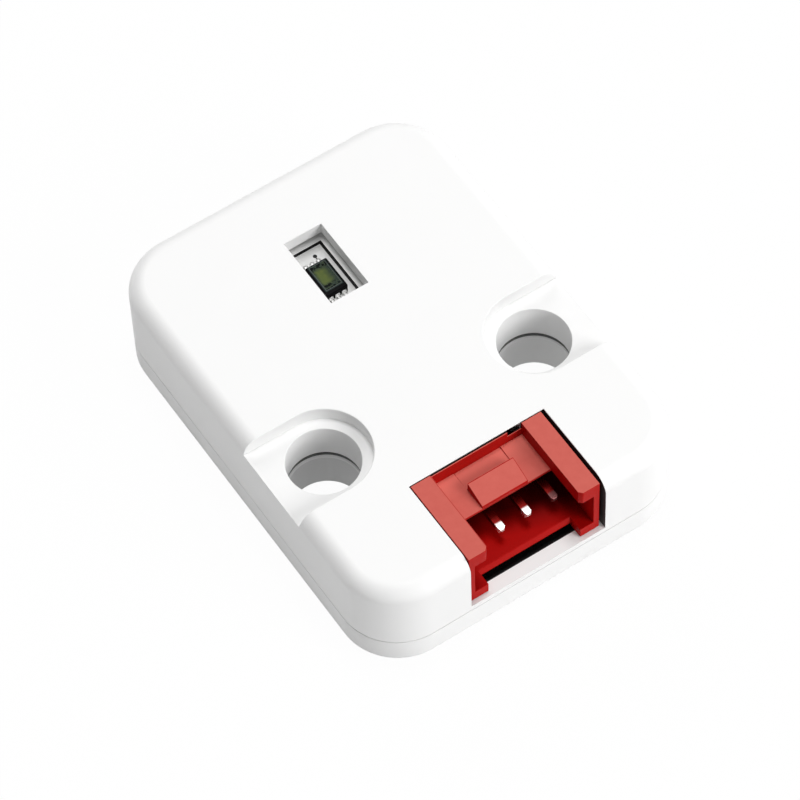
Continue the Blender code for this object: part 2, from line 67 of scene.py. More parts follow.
def addBlock(name, low, high):
    rest()
    low, high = Vector(low), Vector(high)
    bpy.ops.mesh.primitive_cube_add(size=1, location=(low + high) / 2)
    piece = bpy.context.object
    piece.name = name
    piece.scale = high - low
    return settle(piece)


def addRod(name, centre, radius, bottom, top, sides=96, topRadius=None):
    rest()
    bpy.ops.mesh.primitive_cone_add(
        vertices=sides, radius1=radius, radius2=radius if topRadius is None else topRadius,
        depth=top - bottom, location=(centre[0], centre[1], (bottom + top) / 2))
    piece = bpy.context.object
    piece.name = name
    return settle(piece)


def choose(piece, kind, test):
    # selects faces, edges or vertices that pass a test, and stays in edit mode
    pick(piece)
    bpy.ops.object.mode_set(mode="EDIT")
    bpy.ops.mesh.select_mode(type={"faces": "FACE", "edges": "EDGE", "verts": "VERT"}[kind])
    bpy.ops.mesh.select_all(action="DESELECT")
    cage = bmesh.from_edit_mesh(piece.data)
    for part in getattr(cage, kind):
        if test(part):
            part.select_set(True)
    bmesh.update_edit_mesh(piece.data)


def direction(edge):
    return (edge.verts[0].co - edge.verts[1].co).normalized()


def upright(edge):
    return abs(direction(edge).z) > 0.99


def levelAt(edge, height):
    return all(abs(vert.co.z - height) < tiny for vert in edge.verts)


def middle(edge):
    return (edge.verts[0].co + edge.verts[1].co) / 2


def bevelEdges(piece, test, width, steps):
    choose(piece, "edges", test)
    bpy.ops.mesh.bevel(offset=width, offset_type="OFFSET", segments=steps, profile=0.5, affect="EDGES")
    bpy.ops.object.mode_set(mode="OBJECT")
    return piece


def bevelSharp(piece, width, steps, test=None, angle=35):
    # rounds the outward edges that pass the test, or all of them
    limit = math.radians(angle)
    return bevelEdges(piece, lambda edge: len(edge.link_faces) == 2 and edge.is_convex
                      and edge.calc_face_angle(0) > limit and (test is None or test(edge)), width, steps)


def looksAlongY(face, side, y):
    # whether a face looks along y, to a side, and lies at y
    return face.normal.y * side > 0.9 and abs(face.calc_center_median().y - y) < tiny


def extrudeFrom(piece, test, shift):
    choose(piece, "faces", test)
    bpy.ops.mesh.extrude_region_move(TRANSFORM_OT_translate={"value": shift})
    bpy.ops.object.mode_set(mode="OBJECT")


def applyAll(piece):
    pick(piece)
    for step in list(piece.modifiers):
        bpy.ops.object.modifier_apply(modifier=step.name)
    return piece


def combine(piece, others, operation):
    for other in others:
        step = piece.modifiers.new("combine", "BOOLEAN")
        step.operation, step.solver, step.object = operation, "EXACT", other
        applyAll(piece)
        bpy.data.objects.remove(other, do_unlink=True)


def cutAway(piece, *others):
    combine(piece, others, "DIFFERENCE")


def joinOn(piece, *others):
    combine(piece, others, "UNION")


def smooth(piece, angle=35):
    # round faces shade as round, flat ones stay flat
    pick(piece)
    bpy.ops.object.shade_smooth_by_angle(angle=math.radians(angle))
    step = piece.modifiers.new("weighted", "WEIGHTED_NORMAL")
    step.keep_sharp = True
    return applyAll(piece)


def copyTo(piece, name, shift):
    pick(piece)
    bpy.ops.object.duplicate()
    copy = bpy.context.object
    copy.name = name
    copy.location = shift
    return settle(copy)


def finishPiece(piece, look, slotName, *nodes):
    piece.data.materials.clear()
    piece.data.materials.append(look)
    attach(piece, "root")
    if nodes:
        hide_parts(*nodes)


# shader maths

class Wire:
    # one output of a node tree; arithmetic on it adds Math nodes

    def __init__(self, graph, socket):
        self.graph, self.socket = graph, socket

    def op(self, operation, *others):
        return self.graph.node("ShaderNodeMath", {"operation": operation}, dict(enumerate((self, *others))))

    def __add__(self, other):
        return self.op("ADD", other)

    def __sub__(self, other):
        return self.op("SUBTRACT", other)

    def __mul__(self, other):
        return self.op("MULTIPLY", other)

    def __rsub__(self, other):
        return self.graph.node("ShaderNodeMath", {"operation": "SUBTRACT"}, {0: other, 1: self})

    def __abs__(self):
        return self.op("ABSOLUTE")

    __radd__ = __add__
    __rmul__ = __mul__


class Graph:
    # the nodes of a material or of the world

    def __init__(self, owner):
        owner.use_nodes = True
        self.owner, self.nodes, self.links = owner, owner.node_tree.nodes, owner.node_tree.links

    def node(self, kind, settings=None, values=None, out=0):
        made = self.nodes.new(kind)
        for key, value in (settings or {}).items():
            setattr(made, key, value)
        for key, value in (values or {}).items():
            if isinstance(value, Wire):
                self.links.new(value.socket, made.inputs[key])
            elif isinstance(value, tuple) and made.inputs[key].type == "RGBA":
                made.inputs[key].default_value = (*value, 1)
            else:
                made.inputs[key].default_value = value
        return Wire(self, made.outputs[out])

    def splitXYZ(self, source="Object"):
        # three wires: the place on the object, or the direction of its surface with "Normal"
        vector = self.node("ShaderNodeTexCoord", out=source)
        split = self.node("ShaderNodeSeparateXYZ", {}, {0: vector}).socket.node
        return [Wire(self, socket) for socket in split.outputs]

    def noise(self, size, detail=3.0, roughness=0.5):
        # size is the width of one speck
        return self.node("ShaderNodeTexNoise", {}, {
            "Vector": self.node("ShaderNodeTexCoord", out="Object"), "Scale": 1 / size,
            "Detail": detail, "Roughness": roughness})

    def ramp(self, wire, low, high):
        # 0 at low and below, 1 at high and above
        return self.node("ShaderNodeMapRange", {}, {"Value": wire, "From Min": low, "From Max": high})

    def inside(self, wires, spans):
        # 1 where every wire lies in its own span
        return math.prod(wire.op("GREATER_THAN", low) * wire.op("LESS_THAN", high)
                         for wire, (low, high) in zip(wires, spans))

    def within(self, x, y, centre, half):
        # 1 inside an upright rectangle
        return abs(x - centre[0]).op("LESS_THAN", half[0]) * abs(y - centre[1]).op("LESS_THAN", half[1])

    def reach(self, x, y, centre):
        # distance from an upright axis
        across, along = x - centre[0], y - centre[1]
        return (across * across + along * along).op("SQRT")

    def most(self, *wires):
        top = wires[0]
        for wire in wires[1:]:
            top = top.op("MAXIMUM", wire)
        return top

    def mix(self, amount, first, second):
        return self.node("ShaderNodeMix", {"data_type": "RGBA"}, {0: amount, 6: first, 7: second}, out=2)

    def seenDirectly(self):
        # 1 for camera, mirror and glass rays, so that the ground and sky look white to them
        rays = self.node("ShaderNodeLightPath").socket.node.outputs
        return self.most(*(Wire(self, rays[name]) for name in (
            "Is Camera Ray", "Is Glossy Ray", "Is Transmission Ray")))


class Look(Graph):
    # a material with its Principled shader ready

    def __init__(self, name, colour, roughness, metallic=0.0, specular=0.5):
        super().__init__(bpy.data.materials.new(name))
        self.shader = self.nodes["Principled BSDF"]
        self.shader.inputs["Base Color"].default_value = (*colour, 1)
        self.shader.inputs["Roughness"].default_value = roughness
        self.shader.inputs["Metallic"].default_value = metallic
        self.shader.inputs["Specular IOR Level"].default_value = specular

    def feed(self, name, wire):
        self.links.new(wire.socket, self.shader.inputs[name])

    def bump(self, height, depth, strength=0.5):
        # depth is the relief's real height
        self.feed("Normal", self.node("ShaderNodeBump", {}, {
            "Height": height, "Distance": depth, "Strength": strength}))


# the two case halves: white moulded plastic with a very fine grain

case = {
    "width": 23.8 * mm, "length": 31.8 * mm, "height": 7.8 * mm,
    "corner": 4.05 * mm, "topRound": 1.15 * mm, "footRound": 0.45 * mm,
    "wall": 0.8 * mm, "plateUnder": 6.85 * mm, "floorTop": 1.2 * mm,
    "splitLow": 2.17 * mm, "splitHigh": 2.23 * mm,
    "lipTop": 3.0 * mm, "lipInset": 0.9 * mm, "lipWall": 0.5 * mm, "lipGap": (5.64 * mm, -9.12 * mm),
    "tubeLow": 3.53 * mm, "tubeHigh": 3.93 * mm, "seat": 5.45 * mm, "ribTop": 7.0 * mm,
    "mouthX": (-4.98 * mm, 5.18 * mm), "mouthBack": -9.05 * mm, "mouthLow": 2.7 * mm,
    "sillX": 5.6 * mm, "sillY": (-15.5 * mm, -14.95 * mm), "sillTop": 3.2 * mm,
    "windowX": 1.41 * mm, "windowY": (5.225 * mm, 10.775 * mm),
    "cutLow": 6 * mm,  # where the cuts through the top plate start, under it
    "reliefX": (2.35 * mm, 3.45 * mm), "reliefY": (-9.1 * mm, -8 * mm), "reliefTop": 7.7 * mm,
    "post": (8.3 * mm, 12.3 * mm), "postRadius": 1.0 * mm, "postTop": 4.35 * mm,
    "pocketEdge": 0.12 * mm, "pocketRim": 0.07 * mm, "openingEdge": 0.05 * mm, "fineEdge": 0.04 * mm,
    "outlineNear": 0.7 * mm, "cornerNear": 0.35 * mm,  # how far in from the outline still counts as on it
}
hole = {
    "x": 8.0 * mm, "y": -3.9 * mm, "radius": 2.43 * mm, "tube": 3.08 * mm, "foot": 0.5 * mm,
    "pocket": 3.2 * mm, "pocketFloor": 6.7 * mm, "pocketWall": 0.8 * mm, "jointRound": 0.22 * mm,
    "rimReach": 2.5 * mm, "pocketReach": 5 * mm,
}
screw = {
    "y": -3.9 * mm, "shank": 0.95 * mm, "pilot": 1.0 * mm, "boss": 1.85 * mm, "head": 1.75 * mm,
    "bore": 1.9 * mm, "shankBore": 1.1 * mm, "boreWall": 0.85 * mm, "headLow": 0.6 * mm, "seat": 1.9 * mm,
    "tip": 5.9 * mm, "tipRoom": 0.15 * mm, "key": 1.3 * mm, "keyDepth": 0.7 * mm, "clear": 0.03 * mm,
    "root": 0.2 * mm, "round": 0.15 * mm, "keyEdge": 0.05 * mm, "black": (0.12, 0.12, 0.125),
}
plastic = {
    "white": (0.88, 0.88, 0.877), "paintedGapShade": (0.03, 0.03, 0.03), "boreShadeGrey": (0.72, 0.72, 0.72),
    "rough": 0.5, "grain": 0.07 * mm, "grainDepth": 0.001 * mm, "cloud": 3 * mm,
    # painted shade in the narrow gaps round the socket: spans of distance from the middle, of y and of height
    "besideSocket": ((4.9 * mm, 5.2 * mm), (-17 * mm, -9 * mm), (2.6 * mm, 7.74 * mm)),
    "behindSocket": ((-mm, 5.2 * mm), (-9.12 * mm, -9 * mm), (2.6 * mm, 7.74 * mm)),
    "underSocket": ((-mm, 5.2 * mm), (-14.98 * mm, -9 * mm), (0.6 * mm, 2.75 * mm)),
    # spans of distance from a hole's axis and of height, for painted shade at the joint and in the bores; the
    # right hole's bore is less grey
    "joint": ((2.53 * mm, 3.3 * mm), (3.4 * mm, 3.98 * mm)), "jointShade": 0.8,
    "boreFade": (2.5 * mm, 2.6 * mm), "boreSpan": (0.3 * mm, 3.28 * mm), "rightBore": 0.25,
}


def makeCasePlastic():
    # white, with painted shade in the narrow gaps: round the socket, under it, and at the joint in each hole
    g = Look("casePlastic", plastic["white"], plastic["rough"], specular=0.3)
    x, y, z = g.splitXYZ()
    side = abs(x)
    reach = g.reach(side, y, (hole["x"], hole["y"]))
    facing = abs(g.splitXYZ("Normal")[0]).op("GREATER_THAN", 0.9)
    # painted shade beside, behind and under the socket, and at the joint in each hole
    paintedGapShade = g.most(facing * g.inside((side, y, z), plastic["besideSocket"]),
                 g.inside((side, y, z), plastic["behindSocket"]),
                 g.inside((side, y, z), plastic["underSocket"]),
                 plastic["jointShade"] * g.inside((reach, z), plastic["joint"]))
    # painted shade in the lower part of each bore, less in the right one
    bore = (1 - g.ramp(reach, *plastic["boreFade"])) * g.inside((z,), [plastic["boreSpan"]])
    bore = bore * (1 - (1 - plastic["rightBore"]) * x.op("GREATER_THAN", 0.0))
    grain, cloud = g.noise(plastic["grain"], 2.0), g.noise(plastic["cloud"], 2.0)
    paint = g.mix(cloud, plastic["white"], tuple(part * 0.99 for part in plastic["white"]))
    paint = g.mix(bore, paint, plastic["boreShadeGrey"])
    g.feed("Base Color", g.mix(paintedGapShade, paint, plastic["paintedGapShade"]))
    g.feed("Roughness", plastic["rough"] + 0.1 * (grain - 0.5) + 0.08 * (cloud - 0.5))
    g.bump(grain, plastic["grainDepth"])
    return g.owner


def roundedBlock(name, inset, bottom, top, topRound=0.0, footRound=0.0):
    # the case outline, set in, with its top or bottom edge rounded
    x, y = case["width"] / 2 - inset, case["length"] / 2 - inset
    piece = addBlock(name, (-x, -y, bottom), (x, y, top))
    bevelEdges(piece, upright, case["corner"] - inset, 24)
    for height, width in ((top, topRound), (bottom, footRound)):
        if width:
            bevelEdges(piece, lambda edge: levelAt(edge, height), width, 10)
    return piece


def pocketBlock(name, side, radius, reach, bottom, top):
    # half round towards the middle of the case, straight out to its side
    inner, outer = side * (hole["x"] - radius), side * reach
    piece = addBlock(name, (min(inner, outer), hole["y"] - radius, bottom),
                     (max(inner, outer), hole["y"] + radius, top))
    return bevelEdges(piece, lambda edge: upright(edge) and abs(middle(edge).x - inner) < tiny,
                      radius * 0.9995, 32)


def boreRod(side, bottom=-mm, top=above, radius=None, topRadius=None):
    return addRod("bore", (side * hole["x"], hole["y"]), radius or hole["radius"], bottom, top,
                  topRadius=topRadius)


def mouthBlock():
    left, right = case["mouthX"]
    return addBlock("mouth", (left, ahead, case["mouthLow"]), (right, case["mouthBack"], above))


def fromHole(edge):
    # distance of an edge's middle from the nearer hole's axis
    spot = middle(edge)
    return math.hypot(abs(spot.x) - hole["x"], spot.y - hole["y"])


def onOutline(edge):
    # whether an edge lies on the case's outline and not on the lip's, at the corners too
    x, y, near = abs(middle(edge).x), abs(middle(edge).y), case["outlineNear"]
    fromCorner = math.hypot(x - case["width"] / 2 + case["corner"], y - case["length"] / 2 + case["corner"])
    return (x > case["width"] / 2 - near or y > case["length"] / 2 - near
            or fromCorner > case["corner"] - case["cornerNear"])


def makeCaseTop():
    side = case["width"] / 2
    shell = roundedBlock("caseTop", 0, case["splitHigh"], case["height"], topRound=case["topRound"])
    cutAway(shell, roundedBlock("hollow", case["wall"], 0, case["plateUnder"],
                                topRound=case["topRound"] - case["wall"]))
    for hand in (-1, 1):
        joinOn(shell,
               pocketBlock("pocketBase", hand, hole["pocket"] + hole["pocketWall"],
                           side - case["wall"] / 2, case["seat"], case["ribTop"]),
               boreRod(hand, case["tubeHigh"], case["ribTop"], hole["tube"]))
        cutAway(shell, pocketBlock("pocket", hand, hole["pocket"], side + mm, hole["pocketFloor"], above),
                boreRod(hand))
    joinOn(shell, addRod("boss", (0, screw["y"]), screw["boss"], case["tubeHigh"], case["ribTop"]))
    cutAway(shell, addRod("pilot", (0, screw["y"]), screw["pilot"], 0, screw["tip"] + screw["tipRoom"]))
    joinOn(shell, addBlock("sill", (-case["sillX"], case["sillY"][0], case["splitHigh"]),
                           (case["sillX"], case["sillY"][1], case["sillTop"])))
    cutAway(shell, mouthBlock(),
            addBlock("window", (-case["windowX"], case["windowY"][0], case["cutLow"]),
                     (case["windowX"], case["windowY"][1], above)))
    # the relief under the top's edge, behind the notch in the socket's lip
    cutAway(shell, addBlock("relief", (case["reliefX"][0], case["reliefY"][0], case["cutLow"]),
                            (case["reliefX"][1], case["reliefY"][1], case["reliefTop"])))
    # the pockets' outer floor edges, their rims, the openings in the top, the hole rims and the joints
    floor, rim = hole["pocketFloor"], hole["rimReach"]
    bevelSharp(shell, case["pocketEdge"], 4,
               lambda e: levelAt(e, floor) and abs(abs(middle(e).x) - side) < tiny)
    bevelSharp(shell, case["pocketRim"], 3,
               lambda e: middle(e).z > floor + case["openingEdge"] and fromHole(e) < hole["pocketReach"])
    bevelSharp(shell, case["openingEdge"], 2, lambda e: levelAt(e, case["height"]))
    bevelSharp(shell, case["openingEdge"], 3, lambda e: levelAt(e, floor) and fromHole(e) < rim)
    bevelSharp(shell, case["fineEdge"], 2, lambda e: levelAt(e, case["tubeHigh"]) and fromHole(e) < rim)
    bevelSharp(shell, case["fineEdge"], 2, lambda e: levelAt(e, case["splitHigh"]))
    smooth(shell)
    finishPiece(shell, casePlastic, "case_plastic", "top_shell")


def makeCaseBottom():
    base = case["floorTop"] / 2  # where what stands on the floor starts
    cover = roundedBlock("caseBottom", 0, 0, case["splitLow"], footRound=case["footRound"])
    joinOn(cover, roundedBlock("lip", case["lipInset"], base, case["lipTop"]))
    cutAway(cover, roundedBlock("hollow", case["lipInset"] + case["lipWall"], case["floorTop"], above))
    for hand in (-1, 1):
        joinOn(cover, boreRod(hand, base, case["tubeLow"], hole["tube"]))
        for end in (-1, 1):
            joinOn(cover, addRod("post", (hand * case["post"][0], end * case["post"][1]), case["postRadius"],
                                 base, case["postTop"], sides=48))
    joinOn(cover, addRod("boss", (0, screw["y"]), screw["bore"] + screw["boreWall"], base, case["tubeLow"]))
    gapX, gapBack = case["lipGap"]
    cutAway(cover, addRod("headBore", (0, screw["y"]), screw["bore"], -mm, screw["seat"]),
            addRod("shankBore", (0, screw["y"]), screw["shankBore"], 0, above),
            addBlock("lipGap", (-gapX, ahead, case["splitLow"]), (gapX, gapBack, above)),
            mouthBlock())
    for hand in (-1, 1):
        cutAway(cover, boreRod(hand),
                boreRod(hand, -hole["foot"], hole["foot"], hole["radius"] + 2 * hole["foot"], hole["radius"]))
    bevelSharp(cover, hole["jointRound"], 4,
               lambda e: levelAt(e, case["tubeLow"]) and fromHole(e) < hole["rimReach"])
    bevelSharp(cover, case["fineEdge"], 2, lambda e: levelAt(e, case["splitLow"]) and onOutline(e))
    smooth(cover)
    finishPiece(cover, casePlastic, "case_plastic", "bottom_cover")


casePlastic = makeCasePlastic()
makeCaseTop()
makeCaseBottom()
print("case made")


# circuit board with its print

board = {
    "under": 4.4 * mm, "top": 5.4 * mm, "inset": 1.05 * mm, "clear": 0.25 * mm,
    "notchX": (-5.04 * mm, 5.24 * mm), "notchBack": -8.42 * mm,
    "white": (0.8, 0.8, 0.79), "mottle": (0.75, 0.75, 0.74), "cloud": 1.5 * mm, "unevenness": 0.3 * mm,
    "ink": (0.012, 0.012, 0.012), "inkRise": 0.008 * mm,
    "frameX": 1.42 * mm, "frameY": (5.2 * mm, 11.03 * mm), "line": 0.105 * mm,
    "dot": (0.53 * mm, 10.28 * mm), "dotRadius": 0.14 * mm,
    "stemY": 9.95 * mm, "stemHalf": (0.04 * mm, 0.2 * mm),
}
# painted light: a glow on the board's top round the window
paintedGlow = {
    "colour": (1, 1, 0.99), "inWindow": 0.19, "pastEdge": 0.26,
    "edgeX": 1.42 * mm, "edgeY": 10.85 * mm, "endSlope": 0.6, "spanY": (4.4 * mm, 13 * mm),
    "rise": (0.02 * mm, 0.12 * mm), "fall": (0.14 * mm, 0.48 * mm),
    "cornerX": (0.6 * mm, 1.7 * mm), "cornerY": (10.7 * mm, 11.3 * mm), "cornerShade": 0.75,
}


def makeBoardWhite():
    g = Look("boardWhite", board["white"], 0.4)
    x, y, z = g.splitXYZ()
    onTop = z.op("GREATER_THAN", board["top"] - tiny)
    low, high = board["frameY"]
    centre, half, line = (0, (low + high) / 2), (board["frameX"], (high - low) / 2), board["line"]
    ring = g.within(x, y, centre, (half[0] + line, half[1] + line)) - g.within(
        x, y, centre, (half[0] - line, half[1] - line))
    dot = g.reach(x, y, board["dot"]).op("LESS_THAN", board["dotRadius"])
    stem = g.within(x, y, (board["dot"][0], board["stemY"]), board["stemHalf"])
    ink = g.most(ring, dot, stem) * onTop
    cloud = g.noise(board["cloud"], 2.0)
    paint = g.mix(cloud, board["white"], board["mottle"])
    g.feed("Base Color", g.mix(ink, paint, board["ink"]))
    # painted light, a glow on the board: a little in the window, more beyond its edges
    d = paintedGlow
    beyond = g.most(abs(x) - d["edgeX"], d["endSlope"] * (y - d["edgeY"]))
    lit = (d["inWindow"] + d["pastEdge"] * g.ramp(beyond, *d["rise"])) * (1 - g.ramp(beyond, *d["fall"]))
    lit = lit * (1 - d["cornerShade"] * g.ramp(x, *d["cornerX"]) * g.ramp(y, *d["cornerY"]))
    lit = lit * (1 - ink) * onTop * g.inside((y,), [d["spanY"]])
    g.shader.inputs["Emission Strength"].default_value = 1
    g.feed("Emission Color", g.mix(lit, (0, 0, 0), d["colour"]))
    g.feed("Roughness", 0.38 + 0.2 * ink + 0.06 * cloud)
    g.bump(ink + 0.3 * g.noise(board["unevenness"], 2.0), board["inkRise"])
    return g.owner


def makeCircuitBoard():
    plate = roundedBlock("circuitBoard", board["inset"], board["under"], board["top"])
    for hand in (-1, 1):
        cutAway(plate, boreRod(hand, radius=hole["tube"] + board["clear"]))
    left, right = board["notchX"]
    cutAway(plate, addRod("bossHole", (0, screw["y"]), screw["boss"] + board["clear"], 0, above),
            addBlock("notch", (left, ahead, 0), (right, board["notchBack"], above)))
    smooth(plate)
    finishPiece(plate, boardWhite, "board_white", "circuit_board")


boardWhite = makeBoardWhite()
makeCircuitBoard()
print("board made")


# the light sensor: moulded package, filter over the die, terminals and their solder

sensor = {
    "y": 8.05 * mm, "half": (0.8 * mm, 1.3 * mm), "low": 5.46 * mm, "top": 6.18 * mm,
    "corner": 0.1 * mm, "edge": 0.05 * mm, "clear": 0.015 * mm,
    "black": (0.004, 0.004, 0.0045), "grain": 0.05 * mm, "grainDepth": 0.001 * mm, "sheen": 0.06 * mm,
    "lensY": 8.18 * mm, "lensHalf": (0.68 * mm, 1.13 * mm), "lensLow": 5.98 * mm, "lensDrop": 0.01 * mm,
    "lensEdge": 0.03 * mm,
    "roomHalf": 0.19 * mm, "roomY": (1.04 * mm, 1.7 * mm), "roomZ": (5 * mm, 5.83 * mm),
}
lens = {
    "die": (0.13, 0.16, 0.045), "dieMottle": (0.085, 0.12, 0.04), "dark": (0.03, 0.045, 0.042),
    "line": (0.17, 0.18, 0.17), "pad": (0.004, 0.006, 0.005),
    "margin": 0.07 * mm, "lineWidth": 0.035 * mm, "lineShade": 0.6,
    "drift": 0.3 * mm, "driftSize": 0.35 * mm, "cloud": 0.3 * mm,
    "fadeRight": (0.0, 0.5 * mm), "fadeLeft": (-0.4 * mm, -0.62 * mm), "fadeEnds": (0.45 * mm, 0.85 * mm),
    "padSize": 0.16 * mm, "padCut": (0.46, 0.54), "padSpan": (0.58 * mm, 0.7 * mm),
    "veinSize": 0.07 * mm, "veinCut": (0.45, 0.6), "veins": 0.35,
}
terminals = {
    "pitch": 0.5 * mm, "half": 0.18 * mm, "foot": 5.43 * mm, "top": 5.8 * mm, "round": 0.07 * mm,
    "wrap": (-0.25 * mm, 0.05 * mm), "mound": (-0.1 * mm, 0.63 * mm),  # along y, out from the package's end
    "moundTop": 5.6 * mm, "moundCorner": 0.16 * mm, "moundRound": 0.15 * mm, "tin": (0.98, 0.98, 0.97),
}


def makeMetal(name, colour, rough, speck=0.08 * mm, depth=0.002 * mm):
    g = Look(name, colour, rough, 1.0)
    g.feed("Roughness", rough + 0.2 * (g.noise(speck, 3.0) - 0.5))
    g.bump(g.noise(speck * 1.5, 2.0), depth)
    return g.owner


def makePackageBlack():
    g = Look("packageBlack", sensor["black"], 0.5, specular=0.04)
    g.feed("Roughness", 0.5 + 0.2 * (g.noise(sensor["sheen"], 3.0) - 0.5))
    g.bump(g.noise(sensor["grain"], 2.0), sensor["grainDepth"])
    return g.owner


def makeLensGreen():
    # a green die under dark resin, with black bond pads at both ends, in a thin grey frame
    g = Look("lensGreen", lens["die"], 0.25, specular=0.06)
    x, y = g.splitXYZ()[:2]
    centre = (0, sensor["lensY"])
    outer, inner = (g.within(x, y, centre, tuple(half - margin for half in sensor["lensHalf"]))
                    for margin in (lens["margin"], lens["margin"] + lens["lineWidth"]))
    ends = abs(y - sensor["lensY"])
    drift = lens["drift"] * (g.noise(lens["driftSize"], 3.0) - 0.5)
    die = math.prod(1 - g.ramp(wire + drift, *lens[fade]) for wire, fade in (
        (x, "fadeRight"), (x, "fadeLeft"), (ends, "fadeEnds")))
    pads = g.ramp(g.noise(lens["padSize"], 1.0), *lens["padCut"]) * g.ramp(ends, *lens["padSpan"]) * inner
    veins = lens["veins"] * g.ramp(g.noise(lens["veinSize"], 1.0), *lens["veinCut"])
    tone = g.mix(g.noise(lens["cloud"], 2.0), lens["die"], lens["dieMottle"])
    body = g.mix(g.most(die, veins) * inner, lens["dark"], tone)
    body = g.mix(pads, body, lens["pad"])
    g.feed("Base Color", g.mix((outer - inner) * lens["lineShade"], body, lens["line"]))
    return g.owner


def makeSensor():
    middleY, (x, y), low, top = sensor["y"], sensor["half"], sensor["low"], sensor["top"]
    body = addBlock("sensorBody", (-x, middleY - y, low), (x, middleY + y, top))
    bevelEdges(body, lambda e: upright(e) and middle(e).x > 0 and middle(e).y > middleY, sensor["corner"], 4)
    bevelSharp(body, sensor["edge"], 3)
    lensX, lensY = sensor["lensHalf"]
    front, back, clear = sensor["lensY"] - lensY, sensor["lensY"] + lensY, sensor["clear"]
    cutAway(body, addBlock("well", (-lensX - clear, front - clear, sensor["lensLow"] - clear),
                           (lensX + clear, back + clear, top + mm)))
    # room for the terminals under both ends
    for end in (-1, 1):
        run = sorted(middleY + end * reach for reach in sensor["roomY"])
        for step in (-1, 0, 1):
            centre, half = step * terminals["pitch"], sensor["roomHalf"]
            cutAway(body, addBlock("room", (centre - half, run[0], sensor["roomZ"][0]),
                                   (centre + half, run[1], sensor["roomZ"][1])))
    smooth(body)
    finishPiece(body, packageBlack, "package_black", "sensor_body")
    glass = addBlock("sensorLens", (-lensX, front, sensor["lensLow"]), (lensX, back, top - sensor["lensDrop"]))
    bevelSharp(glass, sensor["lensEdge"], 2)
    smooth(glass)
    finishPiece(glass, lensGreen, "lens_green", "sensor_lens")


def makeTerminals():
    # a plated terminal wrapped on the package's end, and the mound of solder that runs out from it
    half, moundTop = terminals["half"], terminals["moundTop"]
    number = 0
    for end in (-1, 1):
        edge = sensor["y"] + end * sensor["half"][1]
        run = sorted(edge + end * reach for reach in terminals["wrap"])
        terminal = addBlock("sensorTerminal", (-half, run[0], terminals["foot"]),
                            (half, run[1], terminals["top"]))
        bevelSharp(terminal, terminals["round"], 4)
        smooth(terminal)
        run = sorted(edge + end * reach for reach in terminals["mound"])
        mound = addBlock("sensorSolder", (-half, run[0], board["top"]), (half, run[1], moundTop))
        far = edge + end * terminals["mound"][1]
        bevelEdges(mound, lambda e: upright(e) and abs(middle(e).y - far) < tiny, terminals["moundCorner"], 5)
        bevelEdges(mound, lambda e: levelAt(e, moundTop), terminals["moundRound"], 5)
        smooth(mound, 50)
        for step in (-1, 0, 1):
            number += 1
            shift = (step * terminals["pitch"], 0, 0)
            finishPiece(copyTo(terminal, f"sensorTerminal{number}", shift), solderTin, "solder_metal",
                        f"sensor_terminal_{number}")
            finishPiece(copyTo(mound, f"sensorSolder{number}", shift), solderTin, "solder_metal")
        for spare in (terminal, mound):
            bpy.data.objects.remove(spare, do_unlink=True)


solderTin = makeMetal("solderTin", terminals["tin"], 0.45)
packageBlack = makePackageBlack()
lensGreen = makeLensGreen()
makeSensor()
makeTerminals()
print("sensor made")


# red socket: rails, roof with its key tab, stepped mouth and feet

socket = {
    "x": 4.92 * mm, "front": -15.6 * mm, "back": -9.12 * mm, "base": 2.75 * mm, "top": 7.8 * mm,
    "railInner": 3.42 * mm, "cavityX": 4.47 * mm, "cavityBack": -9.92 * mm, "floor": 3.6 * mm,
    "roof": 6.6 * mm, "roofUnder": 5.8 * mm, "roofFront": -12.4 * mm, "roofEdge": 0.17 * mm,
    "lipFront": -9.22 * mm, "lipTop": 7.67 * mm, "notchX": 2.35 * mm, "notchLow": 7.25 * mm,
    "footInner": 3.47 * mm, "footTop": 3.2 * mm, "floorFront": -14.63 * mm, "lead": 0.22 * mm,
    "tabX": 1.725 * mm, "tabY": (-12.38 * mm, -10.7 * mm), "tabLow": 6.82 * mm, "tabHigh": 7.38 * mm,
    "tabRoot": 0.1 * mm, "groove": 6.54 * mm,
    "slit": 6.42 * mm, "slitWidth": (0.06 * mm, 0.09 * mm), "slitFront": 0.1 * mm, "slitOverlap": 0.01 * mm,
    "round": 0.05 * mm, "railChamfer": 0.25 * mm, "pinHoleFront": -10.4 * mm, "anchorDepth": 5.2 * mm,
}
red = {
    # deep and its mottle are the red's own colour; inner is painted shade, faces painted light, and the paler
    # tones a painted sheen, lighter near the back
    "deep": (0.38, 0.003, 0.002), "deepMottle": (0.36, 0.002, 0.002), "inner": (0.07, 0.001, 0.001),
    "faces": (0.43, 0.008, 0.006), "sheenTone": (0.61, 0.135, 0.108), "sheenMottle": (0.54, 0.105, 0.085),
    "sheenBackLight": (0.74, 0.175, 0.14), "rough": 0.4, "lineShade": 0.85, "railShade": 0.6,
    "cloud": 0.8 * mm, "grain": 0.06 * mm, "grainDepth": 0.0015 * mm, "sheenCloud": 0.5 * mm,
    "sheenZ": (6.3 * mm, 6.5 * mm), "facingUp": (0.75, 0.95), "facingFront": (-0.6, -0.9),
    "innerRun": (-13.6 * mm, -11.4 * mm), "innerSlant": 0.35,
    "backRun": (-10.9 * mm, -9.7 * mm), "backTop": 7 * mm,
    # painted shade: dark lines at the tab's back and right edges and the left rail's inner edge, from before to
    # past each
    "backLine": (-0.07 * mm, 0.02 * mm), "backLineZ": (7.1 * mm, 7.6 * mm),
    "rightLine": (-0.05 * mm, 0.01 * mm), "rightLineZ": (6.7 * mm, 7.6 * mm),
    "railLine": (-0.07 * mm, 0.01 * mm),
}
